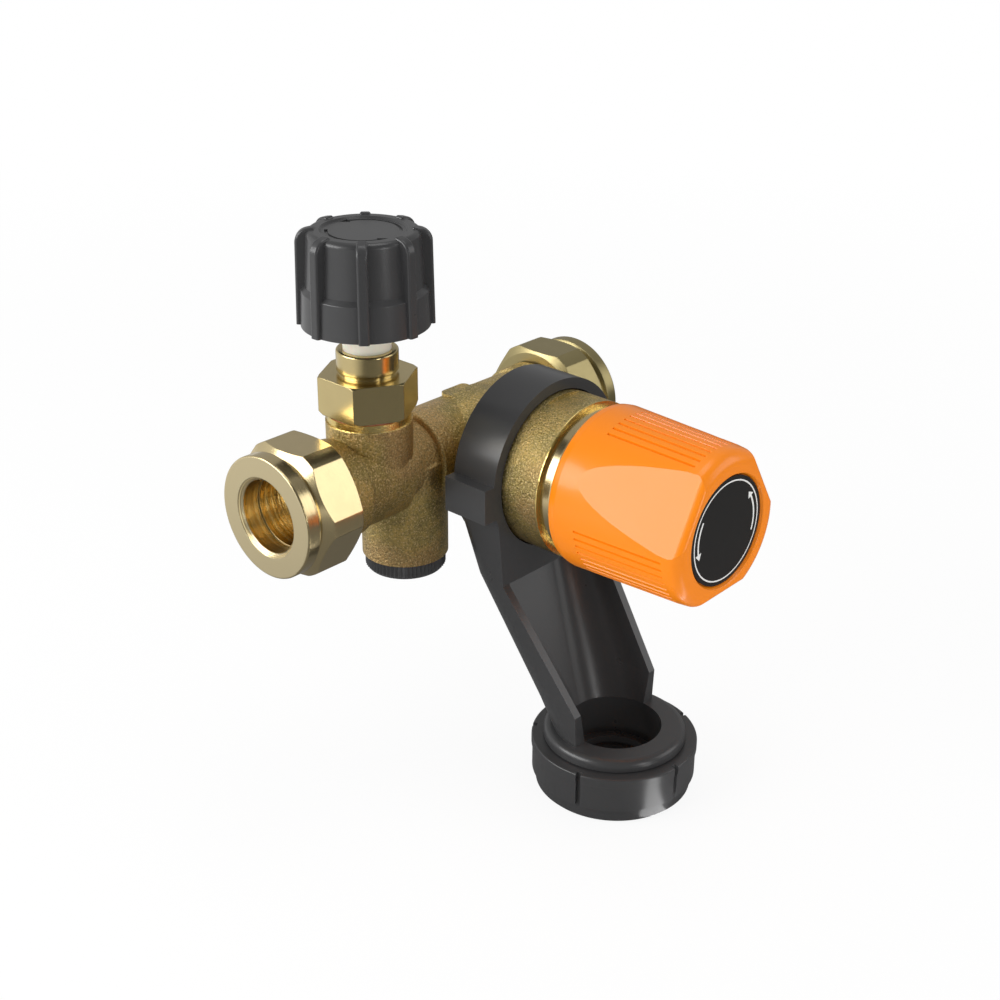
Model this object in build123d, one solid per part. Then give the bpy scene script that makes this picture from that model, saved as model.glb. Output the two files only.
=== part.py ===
from build123d import *
import math
import os

os.makedirs("parts", exist_ok=True)

# Inlet valve group for a storage water heater: stop valve, check valve, relief valve and tundish.
# Millimetres. Y runs along the pipe from inlet to outlet, Z is up, X points out of the relief knob.
# The origin is the centre of the inlet tube stop, where the end of the supply tube seats.

# Tube and compression joints
tube_diameter = 15.0
tube_play = 0.1
nut_bore_play = 0.25
socket_depth = 7.7
nut_length = 14.2
nut_flats = 26.5
nut_corner_radius = 14.4
nut_collar_radius = 13.0
nut_collar_length = 2.9
nut_groove_depth = 0.9
nut_face_to_stop = 16.4
nut_lead_in = 0.85
nut_front_cone = 1.8
nut_back_chamfer = 0.9
thread_radius = 10.3
thread_play = 0.05
olive_length = 5.4
olive_crown = 1.25
olive_play = 0.15
olive_seat_gap = 0.3
olive_foot_depth = 4.6
olive_end_rise = 0.35
olive_slope_length = 1.9
olive_seat_clearance = 0.06
overall_length = 95.2
relief_to_outlet_face = 36.0

# Run of the body
stop_axis_y = 12.5
check_axis_y = 22.2
relief_axis_z = -0.5
run_radius = 9.9
run_slim_radius = 9.1
neck_radius = 10.6
neck_length = 5.1
neck_gap = 0.8
thread_relief_depth = 0.9
band_radius = 10.4
band_start_y = 24.5
band_length = 3.4
waterway_radius = 5.5
outlet_waterway_radius = 6.0
outlet_waterway_reach = 4.8
pad_reach = 5.4
pad_length = 7.6
pad_half_width = 4.0
pad_top_z = 10.3
pad_corner = 1.2

# Stop valve
boss_radius = 9.1
boss_rim_radius = 8.85
boss_rim_height = 1.6
boss_top_z = 14.6
stop_seat_z = 1.5
stop_port_radius = 4.6
stop_chamber_radius = 6.6
stop_lip_height = 0.8
stop_lip_width = 0.8
inlet_pocket_width = 8.0
inlet_pocket_height = 5.8
seat_web = 1.9
bonnet_seal_thickness = 0.5
bonnet_seal_radius = 8.5
bonnet_flats = 18.3
bonnet_hex_height = 8.1
bonnet_foot_chamfer = 0.6
bonnet_chamfer = 0.3
bonnet_neck_radius = 6.0
bonnet_neck_height = 0.6
bonnet_collar_radius = 6.45
bonnet_top_z = 28.4
bonnet_thread_radius = 7.3
bonnet_skirt_z = 9.0
jumper_flats = 9.0
jumper_play = 0.1
jumper_hex_top_z = 11.5
jumper_disc_radius = 5.6
jumper_disc_height = 1.3
jumper_stem_radius = 2.4
jumper_stem_top_z = 22.0
stop_washer_radius = 5.5
stop_washer_thickness = 2.0
seat_gap = 0.3
washer_screw_radius = 1.4
washer_screw_head_radius = 2.3
washer_screw_head_height = 0.9
washer_screw_length = 5.5
spindle_radius = 5.0
spindle_play = 0.06
spindle_flange_radius = 6.0
spindle_flange_height = 2.0
spindle_bottom_z = 16.0
spindle_bore_top_z = 27.0
spindle_thread_play = 0.06
spindle_ring_z = 24.6
spindle_ring_wire = 1.3
spindle_head_radius = 4.2
spindle_head_bottom_z = 35.0
spindle_head_top_z = 49.0
spindle_head_flat = 3.4
stop_lift = 3.375

# Handwheel
wheel_bottom_z = 33.75
wheel_top_z = 53.3
wheel_skirt_radius = 13.2
wheel_waist_radius = 12.0
wheel_shoulder_radius = 11.4
wheel_step_z = 41.6
wheel_edge_round = 1.2
wheel_dish_radius = 8.4
wheel_dish_depth = 0.4
wheel_wall = 1.8
wheel_top_wall = 2.8
wheel_rib_count = 8
wheel_rib_width = 2.2
wheel_rib_foot_radius = 14.0
wheel_rib_crown_radius = 13.6
wheel_rib_inner_radius = 9.6
wheel_rib_rise = 0.55
wheel_rib_drop = 0.85
wheel_rib_corner = 3.0
wheel_rib_edge = 0.5
wheel_hub_radius = 6.6
wheel_hub_bottom_z = 34.9
wheel_hub_play = 0.05
arrow_radius = 7.4
arrow_width = 0.7
arrow_depth = 0.3
arrow_sweep = 120.0
arrow_head = 2.2

# Check valve
check_radius = 9.45
check_top_z = 2.0
check_bottom_z = -21.05
check_chamber_radius = 7.5
check_chamber_top_z = -8.0
check_port_radius = 3.6
check_port_z = 4.5
transfer_radius = 3.0
riser_radius = 2.8
riser_wall = 2.0
riser_low_y = 26.0
riser_low_z = -13.0
riser_reach = 5.3
riser_high_z = -2.0
cage_play = 0.1
cage_flange_height = 2.2
cage_port_radius = 3.2
cage_skirt_wall = 1.0
cage_window_width = 5.0
cage_window_height = 4.2
poppet_radius = 4.5
poppet_thickness = 1.4
poppet_gap = 0.35
poppet_stem_radius = 1.2
poppet_stem_length = 8.3
poppet_seal_wire = 0.9
poppet_travel = 2.5
check_spring_radius = 3.0
check_spring_wire = 0.5
check_spring_turns = 3.0
plug_radius = 8.85
plug_height = 3.5
plug_teeth = 60
plug_tooth_depth = 0.3
plug_spigot_radius = 7.4
plug_spigot_height = 4.3
plug_guide_radius = 1.45
plug_ring_wire = 1.1
plug_ring_height = 2.2
plug_groove_width = 1.4
plug_groove_depth = 1.25

# Relief valve
barrel_radius = 17.2
barrel_back_x = 11.0
barrel_front_x = 34.9
barrel_bore_radius = 14.1
barrel_floor_x = 13.5
barrel_back_round = 3.0
barrel_neck_radius = 12.0
barrel_flat_start_x = 27.0
barrel_flat_end_x = 33.0
barrel_flat_depth = 0.8
relief_port_radius = 4.0
relief_lip_radius = 6.0
relief_lip_height = 2.0
discharge_radius = 4.5
discharge_x = 19.8
diaphragm_seat_x = 26.6
diaphragm_seat_radius = 12.4
diaphragm_thickness = 1.2
diaphragm_play = 0.3
disc_radius = 5.6
disc_thickness = 2.0
disc_gap = 0.3
holder_radius = 6.6
holder_length = 4.2
holder_rim = 0.8
stem_radius = 3.0
stem_end_x = 65.6
stem_play = 0.08
plate_radius = 8.8
plate_thickness = 1.4
plate_x = 29.6
plate_sleeve_wall = 1.6
plate_sleeve_length = 2.4
spring_radius = 7.0
spring_wire = 1.6
spring_turns = 6.0
housing_flange_radius = 16.2
housing_flange_end_x = 37.8
housing_thread_radius = 14.0
housing_tube_radius = 11.6
housing_bore_radius = 9.8
housing_end_x = 58.0
housing_end_wall = 2.6
adjuster_radius = 9.7
adjuster_thickness = 2.2
adjuster_x = 51.5
adjuster_slot_width = 2.4
relief_lift = 1.6
relief_turn = 80.0
hub_gap = 0.3

# Relief knob
knob_base_x = 38.1
knob_base_radius = 17.85
knob_nose_x = 70.5
knob_nose_radius = 16.4
knob_nose_round = 3.0
knob_shoulder_x = 65.6
knob_shoulder_radius = 16.9
knob_rim_radius = 12.2
knob_rim_depth = 0.2
knob_base_round = 0.9
knob_rim_round = 0.3
knob_flat_count = 3
knob_flat_angle = 151.3
knob_flat_start_x = 44.4
knob_flat_end_x = 69.0
knob_flat_end_distance = 14.1
knob_flat_round = 1.8
knob_wall = 2.4
knob_flat_wall = 1.1
knob_front_wall_x = 64.0
knob_groove_count = 9
knob_groove_pitch = 6.0
knob_groove_width = 0.6
knob_groove_depth = 0.4
knob_groove_start_x = 45.0
knob_groove_end_x = 66.4
knob_hub_radius = 10.0
knob_hub_wall = 3.2
knob_hub_play = 0.05
label_radius = 11.6
label_play = 0.06
label_face_x = 69.8
label_thickness = 0.6
knob_screw_radius = 1.5
knob_screw_head_radius = 3.0
knob_screw_head_height = 1.8
knob_screw_length = 7.5

# Tundish and its union nut
collar_play = 0.3
collar_wall = 2.35
collar_back_x = 14.24
collar_front_x = 25.6
lug_reach = 2.6
lug_top_z = 1.4
lug_bottom_z = -6.4
arm_wall = 1.9
arm_top_z = -8.5
arm_top_half_width = 18.2
mouth_z = -23.0
mouth_half_width = 16.75
mouth_floor = 2.2
mouth_corner = 8.0
elbow_z = -49.5
elbow_back_x = 27.2
elbow_half_width = 13.9
elbow_corner = 12.0
tail_axis_x = 44.2
tail_top_z = -56.8
tail_foot_radius = 13.5
tail_bore_radius = 10.4
tail_bore_depth = 9.4
tail_washer_gap = 0.1
tail_seat_radius = 8.6
tail_flange_radius = 15.8
tail_flange_round = 1.6
tail_flange_height = 2.5
tail_tube_radius = 13.9
tail_catch_radius = 15.2
tail_catch_height = 1.0
tail_length = 11.4
front_plate = 2.0
chute_half_width = 7.0
union_play = 0.3
union_top_radius = 18.4
union_band_height = 2.4
union_body_radius = 17.3
union_height = 12.1
union_lip = 1.6
union_bore_radius = 15.6
union_grip_count = 5
union_grip_radius = 18.15
union_grip_height = 8.4
union_grip_gap = 1.2
union_grip_angle = -76.0
union_chamfer = 0.8
union_washer_thickness = 1.4
union_washer_hole = 7.8

# Places worked out from the sizes above
socket_radius = tube_diameter / 2 + tube_play
inlet_face_y = -nut_face_to_stop
outlet_face_y = inlet_face_y + overall_length
outlet_stop_y = outlet_face_y - nut_face_to_stop
relief_axis_y = outlet_face_y - relief_to_outlet_face
olive_end_y = inlet_face_y + olive_foot_depth + olive_seat_gap + olive_length
stop_axis = (0, stop_axis_y, 0)
check_axis = (0, check_axis_y, 0)
relief_axis = (0, relief_axis_y, relief_axis_z)
tail_axis = (tail_axis_x, relief_axis_y, 0)
hex_bottom_z = boss_top_z + bonnet_seal_thickness
washer_bottom_z = stop_seat_z + seat_gap
jumper_disc_z = washer_bottom_z + stop_washer_thickness
spindle_shoulder_z = spindle_bottom_z + spindle_flange_height + 0.2
plug_bottom_z = check_bottom_z - plug_height
plug_top_z = check_bottom_z + plug_spigot_height
cage_top_z = check_chamber_top_z - cage_play
poppet_top_z = cage_top_z - cage_flange_height - poppet_gap
poppet_bottom_z = poppet_top_z - poppet_thickness
relief_seat_x = barrel_floor_x + relief_lip_height
disc_x = relief_seat_x + disc_gap
holder_x = disc_x + disc_thickness
diaphragm_end_x = diaphragm_seat_x + diaphragm_thickness
collar_inner_radius = barrel_radius + collar_play
collar_outer_radius = collar_inner_radius + collar_wall
knob_recess_x = label_face_x - label_thickness
union_top_z = tail_top_z - tail_flange_height
union_bottom_z = union_top_z - union_height
tail_bottom_z = tail_top_z - tail_length
tail_step_z = tail_top_z - tail_bore_depth

DIRECTIONS = {"x": (1, 0, 0), "y": (0, 1, 0), "z": (0, 0, 1)}
SIDEWAYS = {"x": (0, 1, 0), "y": (1, 0, 0), "z": (1, 0, 0)}


def datum(axis, centre):
    """Plane on an axis through centre, whose own Z runs along that axis from coordinate zero."""
    origin = [0 if name == axis else centre[i] for i, name in enumerate("xyz")]
    return Plane(origin=origin, x_dir=SIDEWAYS[axis], z_dir=DIRECTIONS[axis])


def rod(axis, centre, radius, start, end):
    """Cylinder along X, Y or Z between two coordinates of that axis."""
    low = min(start, end)
    blank = Cylinder(radius, abs(end - start), align=(Align.CENTER, Align.CENTER, Align.MIN))
    return datum(axis, centre) * Pos(0, 0, low) * blank


def outline(points, rounds=()):
    """Closed straight-sided outline, with the corners named in rounds turned to arcs."""
    face = make_face(Polyline(*points, close=True))
    for point, radius in rounds:
        corner = face.vertices().sort_by_distance((point[0], point[1], 0))[0]
        face = fillet(corner, radius)
    return face


def turned(axis, centre, points, rounds=()):
    """Solid of revolution; each point is (radius, coordinate along the axis)."""
    face = outline(points, rounds)
    return datum(axis, centre) * revolve(Plane.XZ * face, Axis.Z)


def hex_bar(axis, centre, flats, start, end):
    """Hexagonal prism with two corners on its plane's X axis."""
    section = RegularPolygon(flats / math.sqrt(3), 6)
    return datum(axis, centre) * Pos(0, 0, start) * extrude(section, end - start)


def ring_seal(axis, centre, radius, wire, place):
    """Round-section sealing ring."""
    return datum(axis, centre) * Pos(0, 0, place) * Torus(radius, wire / 2)


def coil(axis, centre, radius, wire, start, end, turns):
    """Open coil spring that fits between two coordinates of its axis."""
    length = end - start - wire
    path = Helix(pitch=length / turns, height=length, radius=radius)
    section = Plane(origin=path @ 0, z_dir=path % 0) * Circle(wire / 2)
    return datum(axis, centre) * Pos(0, 0, start + wire / 2) * sweep(section, path=path)


def around(centre, count, start=0.0):
    """Angles of a pattern of equal pieces round an axis, in degrees."""
    return [start + centre + 360.0 * i / count for i in range(count)]


def end_mirror(piece):
    """The same piece at the outlet end, turned end for end."""
    middle_y = (inlet_face_y + outlet_face_y) / 2
    return Pos(0, 2 * middle_y, 0) * mirror(piece, about=Plane.XZ)


def make_nut():
    """Compression nut of the inlet: round collar, hexagon with turned corners, stepped bore."""
    face = inlet_face_y
    flat_start = face + nut_collar_length + 1.0
    flat_end = face + nut_length
    groove_r = nut_collar_radius - nut_groove_depth
    olive_seat_y = face + olive_foot_depth
    thread_start_y = face + 7.0
    bore_r = tube_diameter / 2 + nut_bore_play
    points = [
        (bore_r + nut_lead_in, face),
        (nut_collar_radius, face),
        (nut_collar_radius, face + nut_collar_length),
        (groove_r, face + nut_collar_length + 0.6),
        (groove_r, flat_start),
        (nut_corner_radius, flat_start + nut_front_cone),
        (nut_corner_radius, flat_end - nut_back_chamfer),
        (nut_corner_radius - 2 * nut_back_chamfer, flat_end),
        (thread_radius + thread_play, flat_end),
        (thread_radius + thread_play, thread_start_y),
        (bore_r + olive_crown + 0.3, thread_start_y),
        (bore_r + olive_crown + 0.3, olive_seat_y + 1.3),
        (bore_r, olive_seat_y),
        (bore_r, face + nut_lead_in),
    ]
    blank = turned("y", (0, 0, 0), points, [((nut_collar_radius, face), 0.35)])
    return blank & hex_bar("y", (0, 0, 0), nut_flats, face - 1, flat_end + 1)


def make_olive():
    """Brass olive squeezed between the nut and the mouth of the body."""
    start = olive_end_y - olive_length
    r = tube_diameter / 2 + olive_play
    crown = r + olive_crown
    points = [
        (r, start),
        (r + olive_end_rise, start),
        (crown, start + olive_slope_length),
        (crown, olive_end_y - olive_slope_length),
        (r + olive_end_rise, olive_end_y),
        (r, olive_end_y),
    ]
    return turned("y", (0, 0, 0), points)


def run_outside():
    """Outside of the run: threaded spigots, necks, tube and cast bands."""
    mouth_y = -socket_depth
    nut_end = inlet_face_y + nut_length
    neck_start = nut_end + neck_gap
    neck_end = neck_start + neck_length
    relief_r = thread_radius - thread_relief_depth
    far_mouth = outlet_stop_y + socket_depth
    far_neck_end = outlet_face_y - nut_length - neck_gap
    far_neck = far_neck_end - neck_length
    slim_start = stop_axis_y + 3.5
    band_end = band_start_y + band_length
    points = [
        (0, mouth_y),
        (thread_radius, mouth_y),
        (thread_radius, nut_end - 1.0),
        (relief_r, nut_end - 0.2),
        (relief_r, neck_start),
        (neck_radius, neck_start),
        (neck_radius, neck_end),
        (run_radius, neck_end + 0.6),
        (run_radius, slim_start),
        (run_slim_radius, slim_start),
        (run_slim_radius, band_start_y),
        (band_radius, band_start_y),
        (band_radius, band_end),
        (run_radius, band_end + 0.5),
        (run_radius, far_neck - 0.6),
        (neck_radius, far_neck),
        (neck_radius, far_neck_end),
        (relief_r, far_neck_end),
        (relief_r, far_neck_end + neck_gap + 0.2),
        (thread_radius, far_neck_end + neck_gap + 1.0),
        (thread_radius, far_mouth),
        (0, far_mouth),
    ]
    rounds = [
        ((neck_radius, neck_end), 0.8),
        ((band_radius, band_start_y), 0.5),
        ((band_radius, band_end), 0.5),
        ((neck_radius, far_neck), 0.8),
    ]
    return turned("y", (0, 0, 0), points, rounds)


def barrel_outside():
    """Outside of the relief branch: neck, rounded shoulder and drum."""
    points = [
        (0, 0),
        (barrel_neck_radius, 0),
        (barrel_neck_radius, barrel_back_x),
        (barrel_radius, barrel_back_x),
        (barrel_radius, barrel_front_x),
        (0, barrel_front_x),
    ]
    drum = turned("x", relief_axis, points, [((barrel_radius, barrel_back_x), barrel_back_round)])
    flat_z = relief_axis_z + barrel_radius - barrel_flat_depth
    length = barrel_flat_end_x - barrel_flat_start_x
    cutter = Box(length, 2 * barrel_radius, 4, align=(Align.MIN, Align.CENTER, Align.MIN))
    return drum - Pos(barrel_flat_start_x, relief_axis_y, flat_z) * cutter


def riser(radius):
    """Sloping stretch that joins the check chamber to the outlet waterway."""
    low = Vector(0, riser_low_y, riser_low_z)
    high = Vector(0, relief_axis_y - riser_reach, riser_high_z)
    along = high - low
    blank = Cylinder(radius, along.length, align=(Align.CENTER, Align.CENTER, Align.MIN))
    return Plane(origin=low, x_dir=(1, 0, 0), z_dir=along) * blank


def body_outside():
    """All the outside forms of the casting joined together."""
    boss = rod("z", stop_axis, boss_radius, -4, boss_top_z - boss_rim_height)
    rim = rod("z", stop_axis, boss_rim_radius, 0, boss_top_z)
    check = rod("z", check_axis, check_radius, check_bottom_z, check_top_z)
    check = chamfer(check.edges().group_by(Axis.Z)[-1], 0.6)
    pad = Box(2 * pad_half_width, pad_length, pad_top_z, align=(Align.CENTER, Align.MIN, Align.MIN))
    pad = Pos(0, relief_axis_y - pad_reach, 0) * fillet(pad.edges().filter_by(Axis.Z), pad_corner)
    gusset = riser(riser_radius + riser_wall)
    return run_outside() + boss + rim + check + barrel_outside() + pad + gusset


def stop_cavity():
    """Hollows of the stop valve: lower pocket, port and upper chamber with a raised seat."""
    pocket_top = stop_seat_z - seat_web
    pocket = Box(
        inlet_pocket_width,
        stop_axis_y,
        inlet_pocket_height,
        align=(Align.CENTER, Align.MIN, Align.MAX),
    )
    pocket = Pos(0, 0, pocket_top) * pocket
    port = rod("z", stop_axis, stop_port_radius, pocket_top - inlet_pocket_height, stop_seat_z + 1)
    floor_z = stop_seat_z - stop_lip_height
    chamber = rod("z", stop_axis, stop_chamber_radius, floor_z, bonnet_skirt_z)
    lip = rod("z", stop_axis, stop_port_radius + stop_lip_width, floor_z, stop_seat_z)
    thread = rod("z", stop_axis, bonnet_thread_radius + thread_play, bonnet_skirt_z - 1, boss_top_z + 1)
    return pocket + port + (chamber - lip) + thread


def check_cavity():
    """Hollows of the check valve: transfer passage, port, chamber and the riser to the outlet."""
    transfer = rod("y", (0, 0, check_port_z), transfer_radius, stop_axis_y + 4, check_axis_y)
    port = rod("z", check_axis, check_port_radius, check_chamber_top_z - 1, check_port_z + 2)
    chamber = rod("z", check_axis, check_chamber_radius, check_bottom_z - 1, check_chamber_top_z)
    return transfer + port + chamber + riser(riser_radius)


def relief_cavity():
    """Hollows of the relief valve: port, drum chamber with a raised seat, and discharge hole."""
    port = rod("x", relief_axis, relief_port_radius, 0, relief_seat_x + 1)
    chamber = rod("x", relief_axis, diaphragm_seat_radius, barrel_floor_x, diaphragm_seat_x)
    lip = rod("x", relief_axis, relief_lip_radius, barrel_floor_x, relief_seat_x)
    mouth = rod("x", relief_axis, barrel_bore_radius, diaphragm_seat_x, barrel_front_x + 1)
    drop = (discharge_x, relief_axis_y, 0)
    discharge = rod("z", drop, discharge_radius, relief_axis_z - barrel_radius - 1, relief_axis_z - 10)
    return port + (chamber - lip) + mouth + discharge


def olive_seat():
    """Tapered mouth of the inlet socket, which squeezes the olive on the tube."""
    foot_r = tube_diameter / 2 + olive_play + olive_end_rise + olive_seat_clearance
    slope = (olive_crown - olive_end_rise) / olive_slope_length
    outer_y = -socket_depth - 1
    points = [
        (0, outer_y),
        (foot_r + slope * (olive_end_y - outer_y), outer_y),
        (socket_radius, olive_end_y + (foot_r - socket_radius) / slope),
        (0, olive_end_y + (foot_r - socket_radius) / slope),
    ]
    return turned("y", (0, 0, 0), points)


def make_body():
    """One brass casting that holds all three valves."""
    seat = olive_seat()
    far_mouth = outlet_stop_y + socket_depth
    inlet_way = rod("y", (0, 0, 0), waterway_radius, -1, stop_axis_y - stop_chamber_radius - 1.6)
    inlet_socket = rod("y", (0, 0, 0), socket_radius, -socket_depth - 1, 0)
    outlet_socket = rod("y", (0, 0, 0), socket_radius, outlet_stop_y, far_mouth + 1)
    outlet_start = relief_axis_y - outlet_waterway_reach
    outlet_way = rod("y", (0, 0, 0), outlet_waterway_radius, outlet_start, outlet_stop_y + 1)
    solid = body_outside() - inlet_way - inlet_socket - outlet_socket - outlet_way
    solid -= seat + end_mirror(seat)
    return solid - stop_cavity() - check_cavity() - relief_cavity()


def make_bonnet():
    """Bonnet of the stop valve: threaded skirt, hexagon, waist and polished collar."""
    hex_top = hex_bottom_z + bonnet_hex_height
    corner = bonnet_flats / math.sqrt(3)
    hexagon = hex_bar("z", stop_axis, bonnet_flats, hex_bottom_z, hex_top)
    cone = turned(
        "z",
        stop_axis,
        [
            (0, hex_bottom_z),
            (corner - bonnet_foot_chamfer, hex_bottom_z),
            (corner, hex_bottom_z + bonnet_foot_chamfer),
            (corner, hex_top - bonnet_chamfer),
            (corner - 2 * bonnet_chamfer, hex_top),
            (0, hex_top),
        ],
    )
    column = turned(
        "z",
        stop_axis,
        [
            (0, bonnet_skirt_z),
            (bonnet_thread_radius, bonnet_skirt_z),
            (bonnet_thread_radius, hex_bottom_z),
            (bonnet_neck_radius, hex_top),
            (bonnet_neck_radius, hex_top + bonnet_neck_height),
            (bonnet_collar_radius, hex_top + bonnet_neck_height + 0.3),
            (bonnet_collar_radius, bonnet_top_z),
            (0, bonnet_top_z),
        ],
        [((bonnet_collar_radius, bonnet_top_z), 0.5)],
    )
    guide = hex_bar("z", stop_axis, jumper_flats + 2 * jumper_play, bonnet_skirt_z - 1, spindle_bottom_z)
    pocket = rod("z", stop_axis, spindle_flange_radius + 0.1, spindle_bottom_z - 0.5, spindle_shoulder_z)
    bore = rod("z", stop_axis, spindle_radius + spindle_play, spindle_bottom_z, bonnet_top_z + 1)
    return (hexagon & cone) + column - guide - pocket - bore


def make_spindle():
    """Plastic spindle: flange below, ring groove, threaded bore and flatted head for the wheel."""
    points = [
        (0, spindle_bottom_z),
        (spindle_flange_radius, spindle_bottom_z),
        (spindle_flange_radius, spindle_bottom_z + spindle_flange_height),
        (spindle_radius, spindle_bottom_z + spindle_flange_height),
        (spindle_radius, spindle_ring_z - spindle_ring_wire / 2),
        (spindle_radius - 1.0, spindle_ring_z - spindle_ring_wire / 2),
        (spindle_radius - 1.0, spindle_ring_z + spindle_ring_wire / 2),
        (spindle_radius, spindle_ring_z + spindle_ring_wire / 2),
        (spindle_radius, spindle_head_bottom_z),
        (spindle_head_radius, spindle_head_bottom_z),
        (spindle_head_radius, spindle_head_top_z),
        (0, spindle_head_top_z),
    ]
    solid = turned("z", stop_axis, points)
    bore_r = jumper_stem_radius + spindle_thread_play
    solid -= rod("z", stop_axis, bore_r, spindle_bottom_z - 1, spindle_bore_top_z)
    return solid - head_flats(spindle_head_flat, spindle_head_bottom_z, spindle_head_top_z + 1)


def head_flats(distance, start, end):
    """Two blocks that cut opposite flats on the spindle head, or key its socket."""
    height = end - start
    block = Box(8, 20, height, align=(Align.MIN, Align.CENTER, Align.MIN))
    one = Pos(distance, stop_axis_y, start) * block
    return one + Pos(0, stop_axis_y, 0) * Rot(0, 0, 180) * Pos(0, -stop_axis_y, 0) * one


def make_spindle_ring():
    """Sealing ring in the spindle's groove."""
    wire = spindle_ring_wire - 0.3
    return ring_seal("z", stop_axis, spindle_radius - wire / 2, wire, spindle_ring_z)


def make_jumper():
    """Jumper: washer disc, hexagon that stops it turning, and the threaded stem."""
    disc_top = jumper_disc_z + jumper_disc_height
    disc = rod("z", stop_axis, jumper_disc_radius, jumper_disc_z, disc_top)
    hexagon = hex_bar("z", stop_axis, jumper_flats, disc_top, jumper_hex_top_z)
    stem = rod("z", stop_axis, jumper_stem_radius, jumper_hex_top_z, jumper_stem_top_z)
    hole_top = washer_bottom_z + washer_screw_length + 0.5
    hole = rod("z", stop_axis, washer_screw_radius + thread_play, jumper_disc_z, hole_top)
    return disc + hexagon + stem - hole


def make_stop_washer():
    """Flat rubber washer that closes on the seat."""
    washer = rod("z", stop_axis, stop_washer_radius, washer_bottom_z, jumper_disc_z)
    return washer - rod("z", stop_axis, washer_screw_radius + thread_play, washer_bottom_z, jumper_disc_z)


def make_washer_screw():
    """Slotted screw that holds the washer on the jumper."""
    head_z = washer_bottom_z - washer_screw_head_height
    head = rod("z", stop_axis, washer_screw_head_radius, head_z, washer_bottom_z)
    shank_top = washer_bottom_z + washer_screw_length
    shank = rod("z", stop_axis, washer_screw_radius, washer_bottom_z, shank_top)
    slot = Pos(0, stop_axis_y, head_z) * Box(6, 0.7, 0.9)
    return head + shank - slot


def make_bonnet_seal():
    """Flat fibre ring under the bonnet hexagon."""
    disc = rod("z", stop_axis, bonnet_seal_radius, boss_top_z, hex_bottom_z)
    return disc - rod("z", stop_axis, bonnet_thread_radius + thread_play, boss_top_z, hex_bottom_z)


def wheel_shell():
    """Round body of the handwheel with its step, rounded edge, dished top and hollow skirt."""
    points = [
        (0, wheel_bottom_z),
        (wheel_skirt_radius, wheel_bottom_z),
        (wheel_skirt_radius - 0.3, wheel_step_z - 0.5),
        (wheel_waist_radius, wheel_step_z + 0.5),
        (wheel_shoulder_radius, wheel_top_z),
        (wheel_dish_radius + 0.4, wheel_top_z),
        (wheel_dish_radius, wheel_top_z - wheel_dish_depth),
        (0, wheel_top_z - wheel_dish_depth),
    ]
    rounds = [
        ((wheel_shoulder_radius, wheel_top_z), wheel_edge_round),
        ((wheel_skirt_radius - 0.3, wheel_step_z - 0.5), 0.3),
    ]
    shell = turned("z", stop_axis, points, rounds)
    roof_z = wheel_top_z - wheel_top_wall
    hollow = turned(
        "z",
        stop_axis,
        [
            (wheel_hub_radius, wheel_bottom_z - 1),
            (wheel_skirt_radius - wheel_wall, wheel_bottom_z - 1),
            (wheel_skirt_radius - wheel_wall - 0.3, wheel_step_z - 1),
            (wheel_waist_radius - wheel_wall, wheel_step_z),
            (wheel_shoulder_radius - wheel_wall, roof_z),
            (wheel_hub_radius, roof_z),
        ],
    )
    below = rod("z", stop_axis, wheel_hub_radius + 0.01, wheel_bottom_z - 1, wheel_hub_bottom_z)
    return shell - hollow - below


def wheel_rib():
    """One grip rib, drawn in its own plane with a rounded shoulder and softened edges."""
    top = wheel_top_z + wheel_rib_rise
    points = [
        (wheel_rib_inner_radius + 1.2, wheel_bottom_z),
        (wheel_rib_foot_radius, wheel_bottom_z),
        (wheel_rib_crown_radius, top - wheel_rib_drop),
        (wheel_rib_inner_radius, top),
        (wheel_rib_inner_radius, wheel_top_z - 1.2),
        (wheel_rib_inner_radius + 1.2, wheel_top_z - 1.2),
    ]
    rounds = [
        ((wheel_rib_crown_radius, top - wheel_rib_drop), wheel_rib_corner),
        ((wheel_rib_inner_radius, top), wheel_rib_rise),
    ]
    face = outline(points, rounds)
    rib = extrude(Plane.XZ * face, wheel_rib_width / 2, both=True)
    outer = rib.edges().filter_by(lambda edge: wheel_rib_outer_edge(edge))
    return fillet(outer, wheel_rib_edge)


def wheel_rib_outer_edge(edge):
    """True for the long edges along the outside of a rib."""
    middle = edge @ 0.5
    on_side = abs(abs(middle.Y) - wheel_rib_width / 2) < 0.01
    upright = middle.X > wheel_rib_crown_radius - wheel_rib_corner / 3 and middle.Z > wheel_bottom_z + 0.5
    over = middle.Z > wheel_top_z - wheel_rib_drop / 2
    return on_side and (upright or over)


def turn_arrow():
    """Curved arrow, sunk into the top of the wheel to show the way it turns."""
    ring = Circle(arrow_radius + arrow_width / 2) - Circle(arrow_radius - arrow_width / 2)
    reach = 2 * arrow_radius
    half = math.radians(arrow_sweep / 2)
    wedge = make_face(
        Polyline(
            (0, 0),
            (reach * math.cos(half), -reach * math.sin(half)),
            (2 * reach, 0),
            (reach * math.cos(half), reach * math.sin(half)),
            close=True,
        )
    )
    head = Rot(0, 0, math.degrees(half)) * Pos(arrow_radius, 0, 0) * make_face(
        Polyline((-arrow_head / 2, 0), (arrow_head / 2, 0), (0, arrow_head), close=True)
    )
    return extrude((ring & wedge) + head, 1.0)


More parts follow.
